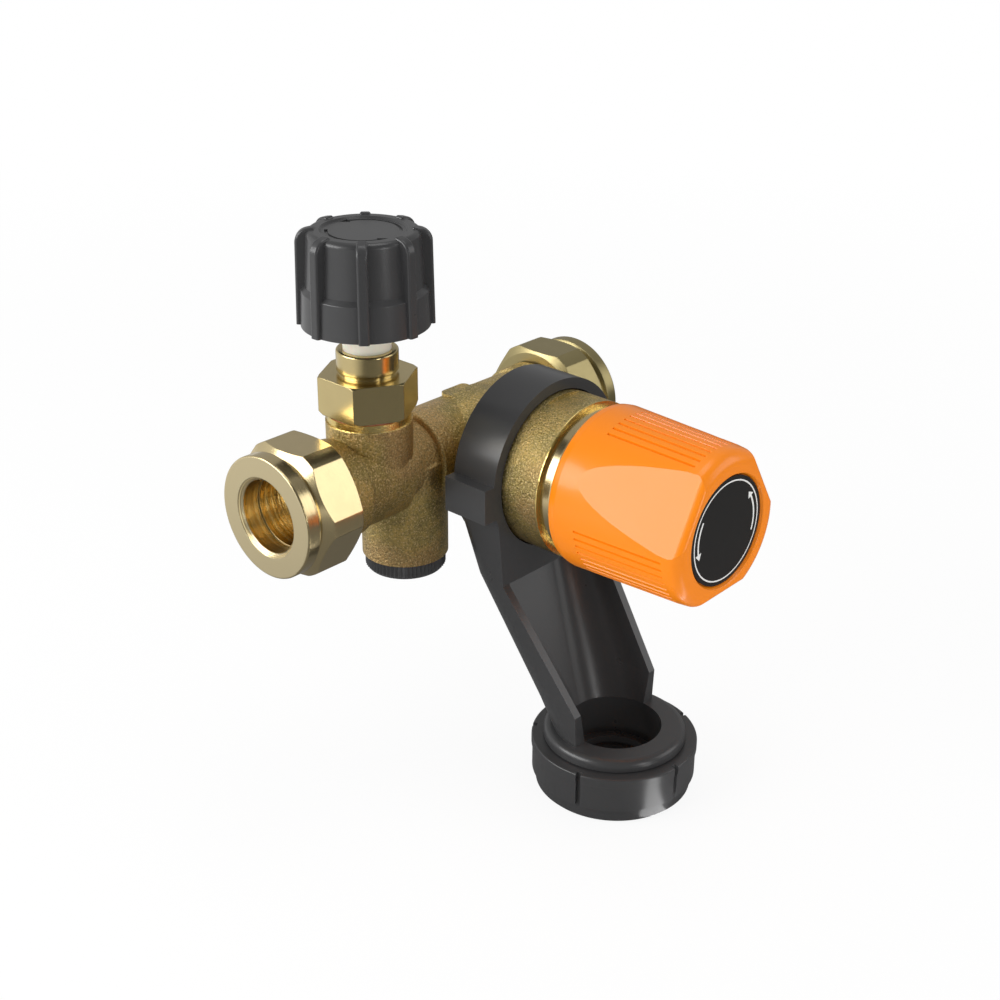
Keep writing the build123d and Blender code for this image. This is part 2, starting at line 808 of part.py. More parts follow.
def make_handwheel():
    """Handwheel with eight ribs and two sunk arrows, keyed on the spindle head."""
    wheel = wheel_shell()
    rib = wheel_rib()
    for angle in around(0, wheel_rib_count):
        wheel += Pos(0, stop_axis_y, 0) * Rot(0, 0, angle) * rib
    socket = rod("z", stop_axis, spindle_head_radius + wheel_hub_play, wheel_hub_bottom_z - 1, spindle_head_top_z)
    flat = spindle_head_flat + wheel_hub_play
    socket -= head_flats(flat, spindle_head_bottom_z, spindle_head_top_z + 1)
    mouth = rod("z", stop_axis, spindle_radius + wheel_hub_play, wheel_hub_bottom_z - 1, spindle_head_bottom_z)
    wheel -= socket + mouth
    floor_z = wheel_top_z - wheel_dish_depth - arrow_depth
    for angle in (100, 280):
        wheel -= Pos(0, stop_axis_y, floor_z) * Rot(0, 0, angle) * turn_arrow()
    return wheel


def make_check_plug():
    """Service plug under the check valve: knurled rim, spigot and guide hole for the poppet."""
    points = []
    for i in range(plug_teeth):
        for step, radius in ((0.0, plug_radius), (0.5, plug_radius - plug_tooth_depth)):
            angle = 2 * math.pi * (i + step) / plug_teeth
            points.append((radius * math.cos(angle), radius * math.sin(angle)))
    rim = extrude(make_face(Polyline(*points, close=True)), plug_height - 0.5)
    disc = Cylinder(plug_radius - 0.5, 0.5, align=(Align.CENTER, Align.CENTER, Align.MIN))
    plug = Pos(0, check_axis_y, plug_bottom_z + 0.5) * rim
    plug += Pos(0, check_axis_y, plug_bottom_z) * disc
    spigot = rod("z", check_axis, plug_spigot_radius, check_bottom_z, plug_top_z)
    ring_z = check_bottom_z + plug_ring_height
    groove_low = ring_z - plug_groove_width / 2
    groove = rod("z", check_axis, plug_spigot_radius + 1, groove_low, groove_low + plug_groove_width)
    groove -= rod("z", check_axis, plug_spigot_radius - plug_groove_depth, check_bottom_z, plug_top_z)
    guide_low = poppet_bottom_z - poppet_stem_length - poppet_travel - 0.5
    guide = rod("z", check_axis, plug_guide_radius, guide_low, plug_top_z + 1)
    return plug + spigot - groove - guide


def make_plug_ring():
    """Sealing ring round the plug's spigot."""
    place = check_bottom_z + plug_ring_height
    return ring_seal("z", check_axis, plug_spigot_radius - plug_ring_wire / 2, plug_ring_wire, place)


def make_cage():
    """Plastic cage with the check valve's seat and windows for the water."""
    outer = check_chamber_radius - cage_play
    bottom = plug_top_z
    tube = rod("z", check_axis, outer, bottom, cage_top_z)
    inner_r = outer - cage_skirt_wall
    tube -= rod("z", check_axis, inner_r, bottom - 1, cage_top_z - cage_flange_height)
    tube -= rod("z", check_axis, cage_port_radius, bottom, cage_top_z + 1)
    window_z = cage_top_z - cage_flange_height - 0.8
    window = Box(2 * outer, cage_window_width, cage_window_height, align=(Align.MIN, Align.CENTER, Align.MAX))
    for angle in around(90, 4):
        tube -= Pos(0, check_axis_y, window_z) * Rot(0, 0, angle) * Pos(inner_r - 1, 0, 0) * window
    return tube


def make_poppet():
    """Poppet of the check valve with its guide stem."""
    head = turned(
        "z",
        check_axis,
        [
            (0, poppet_bottom_z),
            (poppet_radius, poppet_bottom_z),
            (poppet_radius, poppet_top_z - 0.6),
            (cage_port_radius - 0.5, poppet_top_z),
            (0, poppet_top_z),
        ],
    )
    stem_end = poppet_bottom_z - poppet_stem_length
    stem = rod("z", check_axis, poppet_stem_radius, stem_end, poppet_bottom_z)
    seat = ring_seal("z", check_axis, poppet_radius, poppet_seal_wire + 0.1, poppet_bottom_z + 0.55)
    return head + stem - seat


def make_poppet_seal():
    """Rubber ring round the poppet's head."""
    return ring_seal("z", check_axis, poppet_radius, poppet_seal_wire, poppet_bottom_z + 0.55)


def make_check_spring():
    """Coil spring between the plug and the poppet."""
    return coil("z", check_axis, check_spring_radius, check_spring_wire,
                plug_top_z, poppet_bottom_z, check_spring_turns)


def make_relief_disc():
    """Rubber disc that closes on the relief seat."""
    return rod("x", relief_axis, disc_radius, disc_x, holder_x)


def make_disc_holder():
    """Brass cup that carries the rubber disc on the end of the stem."""
    cup = rod("x", relief_axis, holder_radius, disc_x + 0.6, holder_x + holder_length)
    cup -= rod("x", relief_axis, disc_radius + thread_play, disc_x, holder_x)
    return cup - rod("x", relief_axis, stem_radius + thread_play, holder_x + 1.2, holder_x + holder_length + 1)


def make_stem():
    """Relief stem, which runs from the disc holder to the knob."""
    start = holder_x + 1.2
    stem = rod("x", relief_axis, stem_radius, start, stem_end_x)
    tapped = rod("x", relief_axis, knob_screw_radius + thread_play, stem_end_x - knob_screw_length, stem_end_x + 1)
    return stem - tapped


def make_diaphragm():
    """Rubber diaphragm clamped between the body and the spring housing."""
    disc = rod("x", relief_axis, barrel_bore_radius - 0.1, diaphragm_seat_x, diaphragm_end_x)
    bead = turned(
        "x",
        relief_axis,
        [
            (5.5, diaphragm_seat_x),
            (9.5, diaphragm_seat_x),
            (8.9, diaphragm_seat_x - 1.3),
            (6.1, diaphragm_seat_x - 1.3),
        ],
    )
    return disc + bead - rod("x", relief_axis, stem_radius + diaphragm_play, diaphragm_seat_x - 2, diaphragm_end_x + 1)


def make_spring_plate():
    """Plate on the stem that the relief spring pushes on."""
    end = plate_x + plate_thickness
    sleeve_end = end + plate_sleeve_length
    plate = rod("x", relief_axis, plate_radius, plate_x, end)
    sleeve = rod("x", relief_axis, stem_radius + plate_sleeve_wall, plate_x, sleeve_end)
    return plate + sleeve - rod("x", relief_axis, stem_radius + thread_play, plate_x - 1, sleeve_end + 1)


def make_relief_spring():
    """Main spring of the relief valve."""
    start = plate_x + plate_thickness
    return coil("x", relief_axis, spring_radius, spring_wire, start, adjuster_x, spring_turns)


def make_adjuster():
    """Slotted threaded ring that sets the spring, screwed into the housing."""
    ring = rod("x", relief_axis, adjuster_radius, adjuster_x, adjuster_x + adjuster_thickness)
    ring -= rod("x", relief_axis, stem_radius + diaphragm_play, adjuster_x - 1, adjuster_x + adjuster_thickness + 1)
    slot = Box(adjuster_thickness, 2 * adjuster_radius + 2, adjuster_slot_width)
    return ring - Pos(adjuster_x + adjuster_thickness, relief_axis_y, relief_axis_z) * slot


def make_housing():
    """Spring housing of the relief valve: threaded end, polished ring and spring tube."""
    points = [
        (0, diaphragm_end_x),
        (housing_thread_radius, diaphragm_end_x),
        (housing_thread_radius, barrel_front_x),
        (housing_flange_radius, barrel_front_x),
        (housing_flange_radius, housing_flange_end_x),
        (housing_tube_radius, housing_flange_end_x),
        (housing_tube_radius, housing_end_x),
        (0, housing_end_x),
    ]
    rounds = [((housing_flange_radius, housing_flange_end_x), 0.6)]
    solid = turned("x", relief_axis, points, rounds)
    solid -= rod("x", relief_axis, housing_bore_radius, diaphragm_end_x - 1, housing_end_x - housing_end_wall)
    solid -= rod("x", relief_axis, stem_radius + stem_play, housing_end_x - housing_end_wall - 1, housing_end_x + 1)
    return solid


def knob_outside():
    """Outside of the knob: tapered drum, rounded nose and label recess."""
    points = [
        (0, knob_base_x),
        (knob_base_radius - 0.3, knob_base_x),
        (knob_base_radius, knob_base_x + 2.0),
        (knob_shoulder_radius, knob_shoulder_x),
        (knob_nose_radius, knob_nose_x),
        (knob_rim_radius, knob_nose_x - knob_rim_depth),
        (label_radius + label_play, knob_recess_x),
        (0, knob_recess_x),
    ]
    rounds = [
        ((knob_base_radius - 0.3, knob_base_x), knob_base_round),
        ((knob_nose_radius, knob_nose_x), knob_nose_round),
        ((knob_rim_radius, knob_nose_x - knob_rim_depth), knob_rim_round),
    ]
    return turned("x", relief_axis, points, rounds)


def knob_taper(x):
    """Radius of the knob's drum at a place along its axis."""
    share = (x - knob_base_x - 2.0) / (knob_shoulder_x - knob_base_x - 2.0)
    return knob_base_radius + share * (knob_shoulder_radius - knob_base_radius)


def knob_flat_distance(x):
    """Distance of a sloping flat from the knob's axis, at a place along it."""
    start = knob_taper(knob_flat_start_x)
    slope = (start - knob_flat_end_distance) / (knob_flat_end_x - knob_flat_start_x)
    return start - slope * (x - knob_flat_start_x)


def knob_flat_cut():
    """Tool for one sloping flat of the knob, which rounds its front edge too."""
    front_distance = knob_flat_distance(knob_nose_x)
    clear = 2 * knob_base_radius
    points = [
        (knob_flat_start_x, knob_flat_distance(knob_flat_start_x)),
        (knob_nose_x, front_distance),
        (knob_nose_x, label_radius),
        (knob_nose_x + 1, label_radius),
        (knob_nose_x + 1, clear),
        (knob_flat_start_x, clear),
    ]
    face = outline(points, [((knob_nose_x, front_distance), knob_flat_round)])
    return extrude(Plane.XZ * face, knob_base_radius, both=True)


def knob_groove():
    """Tool for one grip groove, which follows the taper of the drum."""
    start = knob_taper(knob_groove_start_x)
    end = knob_taper(knob_groove_end_x)
    run = knob_groove_end_x - knob_groove_start_x
    slope = math.degrees(math.atan2(start - end, run))
    half = knob_groove_width / 2
    deep = knob_groove_depth
    section = make_face(Polyline((-half - 0.2, 0.5), (half + 0.2, 0.5), (half * 0.4, -deep), (-half * 0.4, -deep),
                                 close=True))
    tool = extrude(Plane(origin=(0, 0, 0), x_dir=(0, 1, 0), z_dir=(1, 0, 0)) * section, run)
    return Pos(knob_groove_start_x, 0, start) * Rot(0, slope, 0) * tool


def about_relief(piece, angle):
    """Turns a tool drawn above the relief axis to an angle from +Y towards +Z."""
    return Pos(0, relief_axis_y, relief_axis_z) * Rot(angle - 90, 0, 0) * piece


def make_knob():
    """Orange relief knob: three flats, three grooved grips, hollow inside, hub on the stem."""
    knob = knob_outside()
    for angle in around(knob_flat_angle, knob_flat_count):
        knob -= about_relief(knob_flat_cut(), angle)
    grip_middle = knob_flat_angle - 180 / knob_flat_count
    half_span = knob_groove_pitch * (knob_groove_count - 1) / 2
    tool = knob_groove()
    for grip in around(grip_middle, knob_flat_count):
        for i in range(knob_groove_count):
            knob -= about_relief(tool, grip - half_span + i * knob_groove_pitch)
    inner_start = knob_base_radius - knob_wall
    inner_end = knob_flat_distance(knob_front_wall_x) - knob_flat_wall
    knob -= turned(
        "x",
        relief_axis,
        [
            (0, knob_base_x - 1),
            (inner_start, knob_base_x - 1),
            (inner_end, knob_front_wall_x),
            (0, knob_front_wall_x),
        ],
    )
    hub = rod("x", relief_axis, stem_radius + knob_hub_wall, housing_end_x + hub_gap, knob_front_wall_x + 1)
    bore = rod("x", relief_axis, stem_radius + knob_hub_play, housing_end_x, stem_end_x)
    head_x = knob_recess_x - knob_screw_head_height - 0.2
    screw_way = rod("x", relief_axis, knob_screw_radius + thread_play, stem_end_x - 1, knob_recess_x + 1)
    head_way = rod("x", relief_axis, knob_screw_head_radius + 0.1, head_x, knob_recess_x + 1)
    return knob + hub - bore - screw_way - head_way


def make_label():
    """Round label plate set in the knob's recess."""
    plate = rod("x", relief_axis, label_radius, knob_recess_x, label_face_x)
    return plate


def make_knob_screw():
    """Screw under the label that holds the knob on the stem."""
    head_x = knob_recess_x - knob_screw_head_height - 0.2
    head = rod("x", relief_axis, knob_screw_head_radius, head_x, head_x + knob_screw_head_height)
    shank = rod("x", relief_axis, knob_screw_radius, stem_end_x - knob_screw_length + 0.5, head_x)
    slot = Pos(head_x + knob_screw_head_height, relief_axis_y, relief_axis_z) * Box(1.4, 8, 0.8)
    return head + shank - slot


def trough(back_x, front_x, half_width, corner, z):
    """Level section of the arm: square in front, rounded at the back."""
    low_y = relief_axis_y - half_width
    high_y = relief_axis_y + half_width
    points = [(back_x, low_y), (front_x, low_y), (front_x, high_y), (back_x, high_y)]
    face = outline(points, [((back_x, low_y), corner), ((back_x, high_y), corner)])
    return Pos(0, 0, z) * face


def arm_outside():
    """Outside of the arm, from the collar down to the tail."""
    top = trough(collar_back_x, collar_front_x, arm_top_half_width, 1.2, arm_top_z)
    mouth = trough(collar_back_x, collar_front_x, mouth_half_width, mouth_corner, mouth_z)
    elbow = trough(elbow_back_x, tail_axis_x, elbow_half_width, elbow_corner, elbow_z)
    foot_back = tail_axis_x - tail_foot_radius
    foot = trough(foot_back, tail_axis_x, tail_foot_radius, tail_foot_radius - 0.4, tail_top_z)
    upper = loft([top, mouth], ruled=True)
    middle = loft([mouth, elbow], ruled=True)
    lower = loft([elbow, foot], ruled=True)
    return upper + middle + lower


def arm_inside():
    """Hollow of the arm: the trough that leads the water to the tail's bore."""
    floor_x = collar_back_x + mouth_floor
    bore_back = tail_axis_x - tail_bore_radius
    share = (mouth_z - elbow_z) / (mouth_z - tail_top_z)
    elbow_floor = floor_x + share * (bore_back - floor_x)
    ahead = tail_axis_x + 8
    mouth = trough(floor_x, collar_front_x + 3, mouth_half_width - arm_wall, mouth_corner - arm_wall, mouth_z)
    elbow = trough(elbow_floor, ahead, elbow_half_width - arm_wall, elbow_corner - arm_wall, elbow_z)
    foot = trough(bore_back, ahead, tail_bore_radius, tail_bore_radius - 0.4, tail_top_z)
    return loft([mouth, elbow], ruled=True) + loft([elbow, foot], ruled=True)


def make_tundish():
    """Black tundish: collar on the drum, sloping trough and tail with its flange and catch."""
    barrel = rod("x", relief_axis, collar_outer_radius, collar_back_x, collar_front_x)
    clear = rod("x", relief_axis, collar_inner_radius, collar_back_x - 1, collar_front_x + 1)
    lug = Box(collar_front_x - collar_back_x, 6, lug_top_z - lug_bottom_z, align=(Align.MIN, Align.MIN, Align.MIN))
    lug_y = relief_axis_y - collar_outer_radius - lug_reach
    solid = arm_outside() + barrel + Pos(collar_back_x, lug_y, lug_bottom_z) * lug
    chute_length = collar_front_x - front_plate - collar_back_x - mouth_floor
    chute = Box(chute_length, 2 * chute_half_width, 12, align=(Align.MIN, Align.CENTER, Align.MAX))
    solid -= clear
    solid -= Pos(collar_back_x + mouth_floor, relief_axis_y, mouth_z + 10) * chute
    solid -= arm_inside()
    flange_low = tail_top_z - tail_flange_height
    tail = turned(
        "z",
        tail_axis,
        [
            (0, tail_bottom_z),
            (tail_tube_radius, tail_bottom_z),
            (tail_tube_radius, flange_low - union_lip - tail_catch_height - 0.8),
            (tail_catch_radius, flange_low - union_lip - tail_catch_height - 0.4),
            (tail_catch_radius, flange_low - union_lip - 0.4),
            (tail_tube_radius, flange_low - union_lip - 0.4),
            (tail_tube_radius, flange_low),
            (tail_flange_radius, flange_low),
            (tail_flange_radius, tail_top_z),
            (0, tail_top_z),
        ],
        [((tail_flange_radius, tail_top_z), tail_flange_round)],
    )
    solid += tail
    solid -= rod("z", tail_axis, tail_bore_radius, tail_step_z, tail_top_z + 0.01)
    return solid - rod("z", tail_axis, tail_seat_radius, tail_bottom_z - 1, tail_step_z + 1)


def make_union_nut():
    """Union nut that hangs on the tail: thin lip, top band, wide grips parted by slots, and skirt."""
    band_low = union_top_z - union_band_height
    grip_low = union_top_z - union_grip_height
    points = [
        (tail_tube_radius + union_play, union_top_z - union_play),
        (union_top_radius, union_top_z - union_play),
        (union_top_radius, band_low),
        (union_grip_radius, band_low),
        (union_grip_radius, grip_low),
        (union_body_radius, grip_low),
        (union_body_radius, union_bottom_z + union_chamfer),
        (union_body_radius - union_chamfer, union_bottom_z),
        (union_bore_radius, union_bottom_z),
        (union_bore_radius, union_top_z - union_lip),
        (tail_tube_radius + union_play, union_top_z - union_lip),
    ]
    nut = turned("z", tail_axis, points, [((union_top_radius, union_top_z - union_play), 0.4)])
    slot = Box(union_top_radius, union_grip_gap, union_grip_height, align=(Align.MIN, Align.CENTER, Align.MIN))
    slot = Pos(union_body_radius, 0, 0) * slot
    for angle in around(union_grip_angle, union_grip_count):
        nut -= Pos(tail_axis_x, relief_axis_y, grip_low) * Rot(0, 0, angle) * slot
    return nut


def make_union_washer():
    """Flat rubber washer under the end of the tail."""
    top = tail_bottom_z - tail_washer_gap
    washer = rod("z", tail_axis, union_bore_radius - 0.4, top - union_washer_thickness, top)
    return washer - rod("z", tail_axis, union_washer_hole, top - union_washer_thickness - 1, top + 1)


nut = make_nut()
olive = make_olive()
pieces = {
    "valve_body": make_body(),
    "inlet_nut": nut,
    "outlet_nut": end_mirror(nut),
    "inlet_olive": olive,
    "outlet_olive": end_mirror(olive),
    "stop_bonnet": make_bonnet(),
    "bonnet_seal": make_bonnet_seal(),
    "stop_spindle": make_spindle(),
    "spindle_ring": make_spindle_ring(),
    "stop_jumper": make_jumper(),
    "stop_washer": make_stop_washer(),
    "washer_screw": make_washer_screw(),
    "handwheel": make_handwheel(),
    "check_plug": make_check_plug(),
    "plug_ring": make_plug_ring(),
    "check_cage": make_cage(),
    "check_poppet": make_poppet(),
    "poppet_seal": make_poppet_seal(),
    "check_spring": make_check_spring(),
    "relief_disc": make_relief_disc(),
    "disc_holder": make_disc_holder(),
    "relief_stem": make_stem(),
    "diaphragm": make_diaphragm(),
    "spring_plate": make_spring_plate(),
    "relief_spring": make_relief_spring(),
    "spring_adjuster": make_adjuster(),
    "spring_housing": make_housing(),
    "relief_knob": make_knob(),
    "knob_label": make_label(),
    "knob_screw": make_knob_screw(),
    "tundish": make_tundish(),
    "tundish_nut": make_union_nut(),
    "tundish_washer": make_union_washer(),
}

for name, piece in pieces.items():
    export_step(piece, f"parts/{name}.step")
    print(name, len(piece.solids()), round(piece.volume, 1))
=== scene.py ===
import math

import bpy
from mathutils import Matrix, Vector


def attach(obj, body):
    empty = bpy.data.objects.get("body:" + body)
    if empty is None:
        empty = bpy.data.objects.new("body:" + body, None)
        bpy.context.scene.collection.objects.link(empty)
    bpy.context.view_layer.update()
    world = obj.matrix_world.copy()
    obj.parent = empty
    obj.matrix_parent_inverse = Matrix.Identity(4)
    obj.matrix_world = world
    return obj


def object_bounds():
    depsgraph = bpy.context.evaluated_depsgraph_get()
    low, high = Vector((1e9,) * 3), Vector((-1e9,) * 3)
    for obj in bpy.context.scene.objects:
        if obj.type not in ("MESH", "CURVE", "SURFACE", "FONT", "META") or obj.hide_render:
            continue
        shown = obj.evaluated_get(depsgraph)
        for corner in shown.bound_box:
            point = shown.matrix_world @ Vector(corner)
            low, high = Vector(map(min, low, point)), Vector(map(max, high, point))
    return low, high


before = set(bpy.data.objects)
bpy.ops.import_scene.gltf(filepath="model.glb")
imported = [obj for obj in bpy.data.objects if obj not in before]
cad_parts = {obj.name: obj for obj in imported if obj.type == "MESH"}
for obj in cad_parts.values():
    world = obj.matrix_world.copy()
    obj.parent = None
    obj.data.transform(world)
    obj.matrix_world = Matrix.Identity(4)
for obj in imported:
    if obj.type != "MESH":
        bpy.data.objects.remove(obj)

cad_box = [list(corner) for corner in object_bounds()]
bpy.context.scene.view_settings.view_transform = "Standard"

MM = 0.001

# Points on the axes of the pipe, the stop valve and the relief valve, in metres
PIPE = Vector((0, 0, 0)) * MM
STOP = Vector((0, 12.5, 0)) * MM
RELIEF = Vector((0, 42.8, -0.5)) * MM

# Middle of the object, in metres
MIDDLE = Vector((20, 30, -10)) * MM


# Camera: the photograph's place in metres, its direction in degrees and its lens in millimetres

CAMERA_PLACE = Vector((230.1, -200.0, 144.1)) * MM
CAMERA_YAW = 42.28
CAMERA_PITCH = 25.67
CAMERA_ROLL = 0.43
CAMERA_LENS = 58.64


def add_camera():
    yaw, pitch, roll = (math.radians(a) for a in (CAMERA_YAW, CAMERA_PITCH, CAMERA_ROLL))
    ahead = Vector((-math.sin(yaw) * math.cos(pitch), math.cos(yaw) * math.cos(pitch), -math.sin(pitch)))
    right = Vector((math.cos(yaw), math.sin(yaw), 0))
    up = right.cross(ahead)
    tilted_right = right * math.cos(roll) + up * math.sin(roll)
    tilted_up = up * math.cos(roll) - right * math.sin(roll)
    data = bpy.data.cameras.new("camera")
    data.lens = CAMERA_LENS
    data.sensor_width = 36
    data.clip_start = 0.01
    camera = bpy.data.objects.new("camera", data)
    turn = Matrix((tilted_right, tilted_up, -ahead)).transposed().to_4x4()
    camera.matrix_world = Matrix.Translation(CAMERA_PLACE) @ turn
    bpy.context.collection.objects.link(camera)
    bpy.context.scene.camera = camera


# Shader helpers

def new_material(name, color, roughness, metallic=0.0):
    material = bpy.data.materials.new(name)
    material.use_nodes = True
    shader = material.node_tree.nodes["Principled BSDF"]
    shader.inputs["Base Color"].default_value = (*color, 1)
    shader.inputs["Roughness"].default_value = roughness
    shader.inputs["Metallic"].default_value = metallic
    material.diffuse_color = (*color, 1)
    return material, material.node_tree, shader


def put(tree, kind, settings=None, **inputs):
    """Adds a node. A socket given as input is linked and a value is set; i0, i1 name inputs by number."""
    node = tree.nodes.new(kind)
    for name, value in (settings or {}).items():
        setattr(node, name, value)
    for name, value in inputs.items():
        key = int(name[1:]) if name[0] == "i" and name[1:].isdigit() else name.replace("_", " ")
        socket = node.inputs[key]
        if isinstance(value, bpy.types.NodeSocket):
            tree.links.new(value, socket)
        else:
            socket.default_value = value
    return node


def calc(tree, operation, *values):
    """One Math node on up to three numbers or sockets."""
    inputs = {f"i{i}": value for i, value in enumerate(values)}
    return put(tree, "ShaderNodeMath", {"operation": operation}, **inputs).outputs[0]


def dot(tree, first, second):
    """How far two directions agree, from -1 to 1."""
    node = put(tree, "ShaderNodeVectorMath", {"operation": "DOT_PRODUCT"}, i0=first, i1=second)
    return node.outputs["Value"]


def place_of(tree):
    """Position in the object's own metres, which are the frame's."""
    return put(tree, "ShaderNodeTexCoord").outputs["Object"]


def parts_of(tree, vector):
    return put(tree, "ShaderNodeSeparateXYZ", i0=vector).outputs


def from_axis(tree, place, axis, centre):
    """Distance from an axis along X, Y or Z through centre."""
    keep = [0.0 if name == axis else 1.0 for name in "XYZ"]
    away = put(tree, "ShaderNodeVectorMath", {"operation": "SUBTRACT"}, i0=place, i1=tuple(centre))
    flat = put(tree, "ShaderNodeVectorMath", {"operation": "MULTIPLY"}, i0=away.outputs[0], i1=tuple(keep))
    return put(tree, "ShaderNodeVectorMath", {"operation": "LENGTH"}, i0=flat.outputs[0]).outputs["Value"]


def facing(tree, direction):
    """How much the surface faces a direction of the frame, from -1 to 1."""
    return dot(tree, put(tree, "ShaderNodeTexCoord").outputs["Normal"], direction)


def step_up(tree, value, start, end):
    """0 at start and 1 at end, with a smooth change between. Start may be the larger of the two."""
    return put(tree, "ShaderNodeMapRange", {"interpolation_type": "SMOOTHSTEP"}, Value=value,
               From_Min=start, From_Max=end, To_Min=0.0, To_Max=1.0).outputs[0]


def scaled(tree, value, low, high):
    """Low where the value is 0 and high where it is 1."""
    return put(tree, "ShaderNodeMapRange", Value=value, From_Min=0.0, From_Max=1.0,
               To_Min=low, To_Max=high).outputs[0]


def noise(tree, vector, scale, detail=3.0, rough=0.5):
    node = put(tree, "ShaderNodeTexNoise", Vector=vector, Scale=scale, Detail=detail, Roughness=rough)
    return node.outputs[0]


def blend_colors(tree, share, first, second):
    """The first colour where share is 0 and the second where it is 1."""
    first, second = ((*color, 1) if isinstance(color, tuple) else color for color in (first, second))
    return put(tree, "ShaderNodeMix", {"data_type": "RGBA"}, i0=share, i6=first, i7=second).outputs[2]


def blend_values(tree, share, first, second):
    """The first number where share is 0 and the second where it is 1."""
    return put(tree, "ShaderNodeMix", i0=share, i2=first, i3=second).outputs[0]


def bump(tree, height, strength, distance, under=None):
    """Normal of a surface that height raises by up to distance, laid over another normal where given."""
    node = put(tree, "ShaderNodeBump", Strength=strength, Distance=distance, Height=height)
    if under:
        tree.links.new(under, node.inputs["Normal"])
    return node.outputs[0]


def soft_edges(tree, reach):
    """Normal that turns smoothly round the edges, so that they catch the light."""
    return put(tree, "ShaderNodeBevel", {"samples": 4}, Radius=reach).outputs[0]


def edge_mask(tree, reach):
    """0 on flats and more along edges, from the bevelled normal against the true one."""
    normal = put(tree, "ShaderNodeNewGeometry").outputs["Normal"]
    return calc(tree, "SUBTRACT", 1.0, dot(tree, soft_edges(tree, reach), normal))


# Materials

BRASS = (0.74, 0.60, 0.33)
BONNET_BRASS = (0.68, 0.55, 0.27)
FACE_BRASS = (0.62, 0.53, 0.33)

# The nut behind is duller than the front one, and its colour is darkened as painted shade
SHADED_OUTLET_BRASS = (0.42, 0.35, 0.17)
OUTLET_ROUGH = 0.34

NUT_BORE_RADIUS = 8.2 * MM

# Where the casting's turned faces start to show and where they are complete, in metres
RIM_Z = (12.9 * MM, 13.1 * MM)
RIM_RADIUS = (9.6 * MM, 9.4 * MM)
DRUM_FRONT_X = (34.5 * MM, 34.7 * MM)
SOCKET_RADIUS = (8.9 * MM, 8.6 * MM)

# Noise scales of tool marks: painted highlight rings in bores, ridges, and the fine lines of polished brass
HIGHLIGHT_RINGS = 1300
RIDGES = 2600
POLISH_LINES = 4200


def ring_lines(tree, place, axis, centre, scale):
    """Marks of a lathe tool, which run round an axis."""
    along = parts_of(tree, place)["XYZ".index(axis)]
    radius = from_axis(tree, place, axis, centre)
    section = put(tree, "ShaderNodeCombineXYZ", X=radius, Y=along).outputs[0]
    return noise(tree, section, scale, detail=2.0, rough=0.6)


def bore_highlight_rings(tree, place, axis, centre):
    """Painted highlight rings in a bore: bands of pale brass for the light that a lathe's marks catch,
    between deep brass.
    """
    deep = (0.74, 0.52, 0.18)
    # The pale brass is a painted highlight on the rings
    light = (0.97, 0.86, 0.58)
    rings = step_up(tree, ring_lines(tree, place, axis, centre, HIGHLIGHT_RINGS), 0.4, 0.6)
    return blend_colors(tree, rings, deep, light)


def socket_zone(tree, place):
    """1 in the two sockets of the pipe run, where the lathe's ridges and painted highlight rings show."""
    return step_up(tree, from_axis(tree, place, "Y", PIPE), *SOCKET_RADIUS)


def machined_zone(tree, place):
    """1 where the casting is turned: the boss rim, the sockets and the drum's front end."""
    x, y, z = parts_of(tree, place)[:3]
    rim = step_up(tree, z, *RIM_Z)
    near_boss = step_up(tree, from_axis(tree, place, "Z", STOP), *RIM_RADIUS)
    front = step_up(tree, x, *DRUM_FRONT_X)
    turned = calc(tree, "MAXIMUM", calc(tree, "MULTIPLY", rim, near_boss), socket_zone(tree, place))
    return calc(tree, "MAXIMUM", turned, front)


def cast_brass():
    """Sand-cast skin in olive, gold and copper tones with grains and painted glints (bright specks), bright
    where it is turned.
    """
    olive = (0.46, 0.355, 0.13)
    golden = (0.68, 0.49, 0.17)
    copper = (0.70, 0.43, 0.20)
    pit = (0.17, 0.13, 0.06)
    painted_glint = (0.96, 0.76, 0.38)
    turned = (0.86, 0.66, 0.24)
    material, tree, shader = new_material("cast_brass", (0.62, 0.46, 0.23), 0.4, metallic=1.0)
    place = place_of(tree)
    grain = noise(tree, place, scale=2000, rough=0.65)
    tones = step_up(tree, noise(tree, place, scale=160, rough=0.6), 0.38, 0.62)
    patches = step_up(tree, noise(tree, place, scale=55, detail=2.0), 0.46, 0.62)
    crests = step_up(tree, grain, 0.38, 0.56)
    # Painted glints: bright specks of pale brass in the colour stand for sparkle
    glint_specks = step_up(tree, noise(tree, place, scale=2900, detail=1.0), 0.54, 0.66)
    color = blend_colors(tree, tones, olive, golden)
    color = blend_colors(tree, scaled(tree, patches, 0.0, 0.6), color, copper)
    color = blend_colors(tree, scaled(tree, crests, 0.45, 0.0), color, pit)
    color = blend_colors(tree, scaled(tree, glint_specks, 0.0, 0.65), color, painted_glint)
    bright = machined_zone(tree, place)
    color = blend_colors(tree, bright, color, turned)
    # Painted highlight rings in the sockets
    color = blend_colors(tree, socket_zone(tree, place), color, bore_highlight_rings(tree, place, "Y", PIPE))
    tree.links.new(color, shader.inputs["Base Color"])
    rough = blend_values(tree, bright, scaled(tree, grain, 0.24, 0.46), 0.2)
    tree.links.new(rough, shader.inputs["Roughness"])
    height = calc(tree, "MULTIPLY", grain, calc(tree, "SUBTRACT", 1.0, bright))
    normal = bump(tree, height, strength=1.0, distance=0.4 * MM)
    ridges = calc(tree, "MULTIPLY", ring_lines(tree, place, "Y", PIPE, RIDGES), bright)
    normal = bump(tree, ridges, strength=0.6, distance=0.2 * MM, under=normal)
    tree.links.new(normal, shader.inputs["Normal"])
    return material


